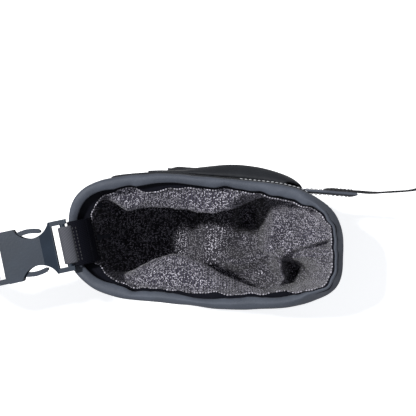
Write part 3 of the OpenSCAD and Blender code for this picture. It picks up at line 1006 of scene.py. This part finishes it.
def pocket():
    """The pocket's face with its zip slot, and the stitching round both."""
    xs = np.linspace(POCKET_LOW[0] - 4 * MM, POCKET_HIGH[0] + 4 * MM, 130)
    zs = np.concatenate([np.linspace(POCKET_LOW[2] - 2 * MM, ZIP_Z - SLOT[2], 56),
                         np.linspace(ZIP_Z + SLOT[2], POCKET_HIGH[2] + 13 * MM, 40)])
    x, z = np.meshgrid(xs, zs)
    corner = 12 * MM
    dx = np.maximum(0, np.maximum(xs[0] + corner - x, x - xs[-1] + corner))
    dz = np.maximum(0, np.maximum(zs[0] + corner - z, z - zs[-1] + corner))
    pull_in = np.where(dx * dz > 0, np.minimum(dx, dz) * 0.3, 0)
    x = x + np.sign(np.mean(xs) - x) * pull_in
    z = z + np.sign(np.mean(zs) - z) * pull_in
    y = pocket_face(x, z)
    points = np.stack([x, y, z], axis=2)
    points[:, :, 1] += ripple(points, 16 * MM, 0.7 * MM, 8) * (y - wall_depth(x, z) > 1.5 * MM)
    rows, columns = x.shape
    faces = [f for f in grid_faces(rows, columns)
             if not (x.ravel()[f].min() > SLOT[0] and x.ravel()[f].max() < SLOT[1]
                     and z.ravel()[f].min() < ZIP_Z < z.ravel()[f].max())]
    uv = np.stack([x, z], axis=2).reshape(-1, 2)
    face = add_object("back_pocket", points.reshape(-1, 3), faces, POCKET, uv)
    thick = face.modifiers.new("cloth", "SOLIDIFY")
    thick.thickness = 1.3 * MM
    thick.offset = -1
    apply_modifiers(face)
    merge_close(face)
    settle(face, "shell_fabric", "pocket_panel", wall="back")

    def on_face(line):
        line = np.array(line, float)
        return np.column_stack([line[:, 0], pocket_face(line[:, 0], line[:, 1]), line[:, 1]])

    edge = 3.2 * MM
    left, right = xs[0] + edge, xs[-1] - edge
    low, high = zs[0] + edge, zs[-1] - edge
    cut, tip = 9 * MM, 2.6 * MM
    border = [(left, high - cut)]
    for x_edge, z_edge, order in ((left, low, 1), (right, low, -1), (right, high, 1), (left, high, -1)):
        to_x, to_z = np.sign(xs.mean() - x_edge), np.sign(zs.mean() - z_edge)
        rounded = [(x_edge, z_edge + to_z * cut), (x_edge + to_x * tip, z_edge + to_z * tip),
                   (x_edge + to_x * cut, z_edge)]
        border += rounded[::order]
    slot_low = (SLOT[0] - 2.2 * MM, ZIP_Z - SLOT[2] - 2 * MM)
    slot_high = (SLOT[1] + 2.2 * MM, ZIP_Z + SLOT[2] + 2 * MM)
    rows_made = []
    for path, facing, material, pitch in (
        (border, (0, 1, 0.1), SHELL_THREAD, 3.2 * MM),
        (rectangle(slot_low, slot_high), (0, 1, 0), BLACK_THREAD, 2.8 * MM),
    ):
        dense = along_line([(u, 0, v) for u, v in path], 2 * MM)[:, [0, 2]]
        rows_made.append(stitches("row", on_face(dense), facing, material, pitch))
    settle(join("pocket_stitching", rows_made), "shell_fabric", wall="back")


def zip_teeth():
    """The zip's nylon coil, as one helix along the opening."""
    pitch = 1.25 * MM
    turns = int((COIL_HIGH[0] - COIL_LOW[0]) / pitch)
    steps = 12
    t = np.arange(turns * steps + 1) / steps
    middle_y = float(COIL_LOW[1] + COIL_HIGH[1]) / 2
    radius = float(COIL_HIGH[2] - COIL_LOW[2]) / 2 - 0.28 * MM
    angle = 2 * math.pi * t
    y = middle_y + radius * np.cos(angle) * 0.8
    z = ZIP_Z + radius * 1.25 * np.sin(angle)
    line = np.column_stack([COIL_LOW[0] + t * pitch + 0.2 * MM, y, z])
    coil = tube("zip_teeth", line, 0.3 * MM, ZIP_NYLON, 6)
    settle(coil, "zip_nylon", "zip_coil", body="back_wall")


def piping():
    """A soft cord along the outside of the back rim, with reflective stitches on its right half."""
    columns = side_range(1, -SEAM_X, SEAM_X)
    level = wall_row(RIM_Z - 7 * MM)
    out = OUTWARD[columns]
    line = shell[level, columns] + out * 0.1 * MM + [0, 0, 1.6 * MM]
    cord = tube("rim_cord", line, 0.9 * MM, POCKET, 10)
    settle(cord, "reflective_piping", "rim_piping", wall="back")
    seen = line[:, 0] > 18 * MM
    over = line[seen] + out[seen] * 0.68 * MM + [0, 0, 0.55 * MM]
    up = out[seen] * 0.7 + [0, 0, 0.9]
    sewn = stitches("rim_cord_stitching", over, up, PALE_THREAD, 2.8 * MM, 0.7, 0.2 * MM)
    settle(sewn, "reflective_piping", wall="back")


pocket()
zip_teeth()
piping()
for side, sign in SIDES:
    shell_stitching(side, sign)


# ---------------------------------------------------------------- buckle tab, belt, wing and keeper

BAR = np.array(JOINTS["tab_swing"]["pos_m"])
ALONG_U = unit(JOINTS["buckle_release"]["axis"])
ALONG_V = unit(JOINTS["tab_swing"]["axis"])
UP = np.array([0, 0, 1.0])
WEB_W = 24.6 * MM
WEB_T = 1.3 * MM


def at_bar(path):
    """Points given as millimetres inwards from the tab bar and up from it."""
    return np.array([BAR - ALONG_U * x * MM + UP * z * MM for x, z in path])


def buckle_point(u, v, w):
    return BAR + ALONG_U * u * MM + ALONG_V * v * MM + UP * w * MM


def buckle_tab():
    """The light roll of webbing round the buckle's bar, and the anchor sewn inside the pouch, darkened as
    painted shade.
    """
    turn = [(2.55 * math.cos(a), 2.55 * math.sin(a)) for a in np.radians(np.arange(110, 260, 15))]
    over = [(4.9, 0.6), (4.2, 1.7), (2.6, 2.45), (0.8, 2.65)]
    under = [(0.6, -2.5), (2.6, -2.2), (4.2, -1.5), (4.9, -0.7)]
    roll = over + turn + under
    band = strap("tab_roll", spline(at_bar(roll), 4), ALONG_V, 23.6 * MM, 1.5 * MM, TAB_WEBBING)
    # the bridge over the rim and the anchor inside carry the painted-shade webbing
    anchor_path = [(3.2, 0), (5.6, 0), (8.4, -1.2), (11.0, -3.6),
                   (13.4, -7.2), (14.9, -12), (15.4, -20), (15.6, -29)]
    line = spline(at_bar(anchor_path), 5)
    over_rim = len(line) * 4 // 7
    bridge = strap("tab_bridge", line[:over_rim + 1], ALONG_V, 28.5 * MM, 1.5 * MM, ANCHOR_PAINTED_SHADE)
    anchor = strap("tab_anchor", line[over_rim:], ALONG_V, 28.5 * MM, 1.5 * MM, ANCHOR_PAINTED_SHADE)

    def thread_rows(name, places, up):
        half = ALONG_V * 11.0 * MM
        middles = at_bar(places)
        return join(name, [stitches("row", np.array([p - half, p + half]), up, BLACK_THREAD,
                                    2.2 * MM, 0.7, 0.3 * MM) for p in middles])

    top_rows = thread_rows("tab_stitching", [(6.1, 0.62), (8.0, -0.1)], UP)
    inner_rows = thread_rows("anchor_stitching", [(16.3, -20), (16.5, -27)], -ALONG_U)
    settle(band, "tab_webbing", "buckle_tab", body="pouch")
    for piece in (bridge, anchor, top_rows, inner_rows):
        settle(piece, "tab_webbing", body="pouch")
    for piece in (anchor, inner_rows):
        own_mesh(piece)


def belt_path():
    """The belt's line: tail, doubled part, turn round the plug's bar, and the way round the waist."""
    loop_r = 2.6
    bar_u = 48.4
    doubled = [(92, 0.85), (66, 1.0), (60, 3.3), (53, 3.4), (bar_u, loop_r)]
    top = [buckle_point(99, 0, 0.7)] + [buckle_point(u, 0, w) for u, w in doubled]
    turn = [buckle_point(bar_u + loop_r * math.cos(a), 0, loop_r * math.sin(a))
            for a in np.radians(np.arange(110, 260, 20))]
    under = [buckle_point(u, 0, -w) for u, w in doubled[::-1]]
    right_end = WING_HIGH[0]
    waist = np.array([
        (-214, -30, 117), (-228, 4, 104), (-228, 62, 75), (-212, 136, 41), (-178, 208, 14.5),
        (-108, 264, 12.5), (-10, 282, 12.5), (92, 264, 12.5), (162, 208, 14.5), (190, 136, 40),
        (182, 84, 68), (150, 50, 86),
    ]) * MM
    on_wing = WING_Y + 2.1 * MM
    wing = [(right_end + 20 * MM, on_wing + 1.1 * MM, WING_Z - MM), (right_end, on_wing, WING_Z),
            (right_end - 20 * MM, on_wing, WING_Z)]
    near = top + turn + under + [buckle_point(112, -0.5, -3.5)]
    return near, list(waist), wing


WING_LOW, WING_HIGH = corners("belt_wing")
WING_Y = float(WING_LOW[1] + WING_HIGH[1]) / 2
WING_Z = float(WING_LOW[2] + WING_HIGH[2]) / 2 + 3 * MM


def belt():
    """The belt in two lengths that meet beyond the buckle."""
    near, waist, wing = belt_path()
    steps = 8
    line = spline(near + waist + wing, steps)
    flat_until = (len(near) - 2) * steps
    turned = smooth((np.arange(len(line)) - flat_until) / (3.0 * steps))
    along = unit(np.gradient(line, axis=0))
    side = unit(np.cross(along, UP))
    upward = np.cross(side, along)
    lie = ALONG_V * np.sign(side @ ALONG_V)[:, None]
    roll = turned[:, None] * math.pi / 2
    on_edge = np.sin(roll) * upward + np.cos(roll) * np.where((turned > 0)[:, None], side, lie)
    flip = np.ones(len(line))
    for i in range(1, len(line)):
        flip[i] = flip[i - 1] * (1 if on_edge[i] @ on_edge[i - 1] >= 0 else -1)
    across = unit(on_edge * flip[:, None])
    meet = (len(near) + 1) * steps
    near_part = strap("belt_buckle_end", line[:meet + 1], across[:meet + 1], WEB_W, WEB_T, WEBBING)
    far_part = strap("waist_belt", line[meet:], across[meet:], WEB_W, WEB_T, WEBBING)
    for piece in (near_part, far_part):
        settle(piece, "webbing", "belt_webbing")
    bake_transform(near_part)
    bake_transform(far_part)


def tail_tack():
    """A dense bar tack across the belt's tail."""
    spot, length = buckle_point(96.5, 0, 1.4), 21 * MM
    rows = []
    for offset in (-0.9, 0, 0.9):
        middle = spot + ALONG_U * offset * MM
        line = np.array([middle - ALONG_V * length / 2, middle + ALONG_V * length / 2])
        rows.append(stitches("row", line, UP, BELT_THREAD, 1.1 * MM, 0.85, 0.26 * MM))
    settle(join("tail_stitching", rows), "webbing", body="buckle_plug")


def bend_wing(piece):
    """Bake the wing's place into its mesh."""
    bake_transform(piece)


def wing():
    """The padded wing at the right end, with the belt box-stitched to it."""
    x = np.linspace(WING_LOW[0] - 4.5 * MM, WING_HIGH[0], 44)
    share = np.clip((x - WING_LOW[0]) / (WING_HIGH[0] - WING_LOW[0]), 0, 1)
    top = np.interp(share, [0, 1], [WING_HIGH[2], WING_Z + 14.5 * MM])
    bottom = np.interp(share, [0, 1], [WING_LOW[2], WING_Z - 14.5 * MM])
    turn = np.linspace(0, 2 * math.pi, 61)
    c, s = np.cos(turn), np.sin(turn)
    height = np.sign(s) * np.abs(s) ** 0.35
    thick = np.sign(c) * np.abs(c) ** 0.5 * 1.25 * MM
    end = np.sqrt(1 - np.clip((x - x[-1] + 1.3 * MM) / (1.3 * MM), 0, 0.999) ** 2)
    z = (top + bottom)[:, None] / 2 + (top - bottom)[:, None] / 2 * height[None, :]
    y = WING_Y + thick[None, :] * end[:, None]
    points = np.stack([np.broadcast_to(x[:, None], z.shape), y, z], axis=2)
    points[:, :, 1] += ripple(points, 14 * MM, 0.25 * MM, 9)
    rows, columns = z.shape
    ring_ids = list(range(columns - 1))
    faces = [list(f) for f in grid_faces(rows, columns)]
    faces += [ring_ids[::-1], [(rows - 1) * columns + i for i in ring_ids]]
    piece = add_object("side_wing", points.reshape(-1, 3), faces, SHELL)
    merge_close(piece)
    settle(piece, "shell_fabric", "belt_wing")
    bend_wing(piece)
    inset = 2.4 * MM
    outer = WING_Y + 1.35 * MM
    seam = [(x[3], top[3] - inset), (x[-1] - inset, top[-1] - inset),
            (x[-1] - inset, bottom[-1] + inset), (x[3], bottom[3] + inset)]
    edge_rows = []
    for face_y, facing in ((outer, (0, 1, 0)), (WING_Y - 1.35 * MM, (0, -1, 0))):
        line = along_line([(u, face_y, w) for u, w in seam], 2 * MM)
        edge_rows.append(stitches("row", line, facing, BLACK_THREAD, 3.0 * MM, 0.68, 0.24 * MM))
    edges = join("wing_stitching", edge_rows)
    belt_face = WING_Y + 2.1 * MM + WEB_T / 2 + 0.02 * MM
    low = (WING_HIGH[0] - 17 * MM, WING_Z - 9.5 * MM)
    high = (WING_HIGH[0] - 3 * MM, WING_Z + 9.5 * MM)
    box = rectangle(low, high) + [high]
    cross = [(high[0], low[1]), (low[0], high[1])]
    rows_made = []
    for path in (box, cross):
        line = along_line([(u, belt_face, w) for u, w in path], 2.6 * MM)
        rows_made.append(stitches("row", line, (0, 1, 0), BELT_THREAD, 2.6 * MM, 0.72, 0.3 * MM))
    settle(edges, "webbing")
    bend_wing(edges)
    settle(join("belt_box_stitch", rows_made), "webbing", body="pouch")


def keeper():
    """The elastic keeper round the doubled belt."""
    centre = sum(corners("belt_keeper")) / 2
    wide, deep, corner = 13.45 * MM, 2.62 * MM, 1.6 * MM
    path = []
    for sx, sz, start in ((1, 1, 0), (-1, 1, 90), (-1, -1, 180), (1, -1, 270)):
        for a in np.radians(np.arange(start, start + 91, 18)):
            path.append(centre + ALONG_V * (sx * (wide - corner) + corner * math.cos(a))
                        + UP * (sz * (deep - corner) + corner * math.sin(a)))
    path = np.array(path)
    path = np.vstack([path, path[:1]])
    band = strap("elastic_keeper", along_line(path, 1.0 * MM), ALONG_U, 6.0 * MM, 0.95 * MM, ELASTIC)
    settle(band, "webbing", "belt_keeper", body="strap_keeper")


buckle_tab()
belt()
wing()
keeper()
tail_tack()


# ---------------------------------------------------------------- carried-over CAD nodes

def dress(name, material, bevel):
    """Give a CAD node its material, and soften its edges."""
    node = NODES[name]
    node.data.materials.clear()
    node.data.materials.append(material)
    if bevel:
        soft = node.modifiers.new("edge", "BEVEL")
        soft.width = bevel
        soft.segments = 3
        soft.limit_method = "ANGLE"
        soft.angle_limit = math.radians(35)
        soft.harden_normals = True


def magnet(side):
    """The rim magnet as a disc of its own, in place of its CAD node."""
    low, high = corners(f"{side}_magnet")
    middle = (low + high) / 2
    axis = np.array([(middle[0], y, middle[2]) for y in np.linspace(low[1], high[1], 4)])
    disc = tube(f"{side}_magnet_disc", axis, float(high[0] - low[0]) / 2, MAGNET_METAL, 40)
    settle(disc, "magnet", f"{side}_magnet", wall=side)


for material, bevel, names in (
    (BUCKLE, 0.55 * MM, ("female_buckle", "male_buckle", "prong_front", "prong_back")),
    (ZIP_METAL, 0.35 * MM, ("zip_slider", "zip_pull")),
    (ZIP_METAL, 0.3 * MM, ("zip_stops",)),
    (ZIP_TAPE, None, ("zip_tape_upper", "zip_tape_lower")),
    (BOARD, 0.4 * MM, ("base_board",)),
):
    for name in names:
        dress(name, material, bevel)
for side, _ in SIDES:
    magnet(side)


# ---------------------------------------------------------------- studio

def studio():
    world = bpy.data.worlds.new("studio")
    bpy.context.scene.world = world
    world.use_nodes = True
    sky = world.node_tree.nodes["Background"]
    set_inputs(world.node_tree, sky, Color=(0.93, 0.95, 1, 1), Strength=0.42)
    key = bpy.data.objects.new("key", bpy.data.lights.new("key", "SUN"))
    key.data.energy = 3.7
    key.data.angle = math.radians(4.5)
    towards_light = Vector((-0.43, 0.14, 0.89))
    key.rotation_euler = towards_light.to_track_quat("Z", "Y").to_euler()
    bpy.context.scene.collection.objects.link(key)
    material, tree, bsdf = node_material("pale_floor")
    seen = add_node(tree, "ShaderNodeLightPath").outputs["Is Camera Ray"]
    set_inputs(tree, bsdf,
               Base_Color=mix_colour(tree, seen, (0.3, 0.3, 0.31), (0.72, 0.72, 0.73)),
               Roughness=0.9,
               Specular_IOR_Level=0.0,
               Emission_Color=(0.98, 0.99, 1, 1),
               Emission_Strength=times(tree, seen, 0.72))
    reach = 30.0
    square = [(-reach, -reach, 0), (reach, -reach, 0), (reach, reach, 0), (-reach, reach, 0)]
    add_object("floor", square, [(0, 1, 2, 3)], material)


def camera():
    """Straight down over the mouth, turned a little, as the pouch was seen."""
    data = bpy.data.cameras.new("camera")
    seen_width = 0.2642
    data.sensor_width = 36
    data.lens = data.sensor_width * CAMERA_ABOVE / seen_width
    obj = bpy.data.objects.new("camera", data)
    obj.location = (*CAMERA_XY, RIM_Z + CAMERA_ABOVE)
    obj.rotation_euler = (0, 0, CAMERA_TURN)
    bpy.context.scene.collection.objects.link(obj)
    bpy.context.scene.camera = obj
    bpy.context.scene.view_settings.view_transform = "Standard"


studio()
camera()
